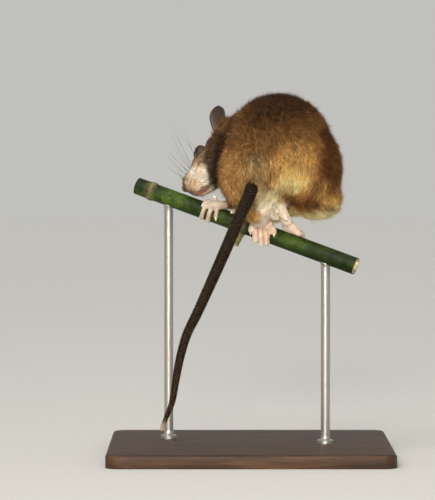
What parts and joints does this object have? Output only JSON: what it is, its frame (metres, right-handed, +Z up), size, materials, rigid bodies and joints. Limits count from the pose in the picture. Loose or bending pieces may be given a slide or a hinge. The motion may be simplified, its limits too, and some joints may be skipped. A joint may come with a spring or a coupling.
{
  "type": "black-tailed melomys (Melomys rufescens)",
  "caption": "Life-size still model of a black-tailed melomys hunched on a cut bamboo stem, its tail hanging, on a flat display stand.",
  "frame": {"origin": "centre of the stand base's underside", "axes": "+Z up; the animal's rump faces -Y and its head is turned towards -X; the stem falls towards +X"},
  "size_m": [0.124, 0.124, 0.1596],
  "materials": {
    "coat": "soft dense fur, brown with ochre bands and dark tips",
    "face_coat": "short fur, grey-brown above and cream on the cheek and muzzle",
    "bare_skin": "bare pinkish skin of hands and feet with pale claws",
    "ear_skin": "thin purplish brown skin with very short hairs",
    "eye": "wet black",
    "tail_skin": "fine rings of small dark scales",
    "bamboo": "waxy dark green culm with paler mottling and a ridge at each node",
    "stand_wood": "dark oiled wood, satin",
    "stand_steel": "satin"
  },
  "bodies": {
    "root": {"head": "face_coat", "neck": "coat", "shoulders": "coat", "trunk": "coat", "rump": "coat", "thigh_left": "coat", "thigh_right": "coat", "foreleg_left": "coat", "foreleg_right": "coat", "ear_left": "ear_skin", "ear_right": "ear_skin", "eye_left": "eye", "eye_right": "eye", "hand_left": "bare_skin", "hand_right": "bare_skin", "hind_foot_left": "bare_skin", "hind_foot_right": "bare_skin", "tail_1": "tail_skin", "tail_2": "tail_skin", "tail_3": "tail_skin", "tail_4": "tail_skin", "perch": "bamboo", "stand_base": "stand_wood", "stand_rod_1": "stand_steel", "stand_rod_2": "stand_steel"}
  },
  "joints": []
}
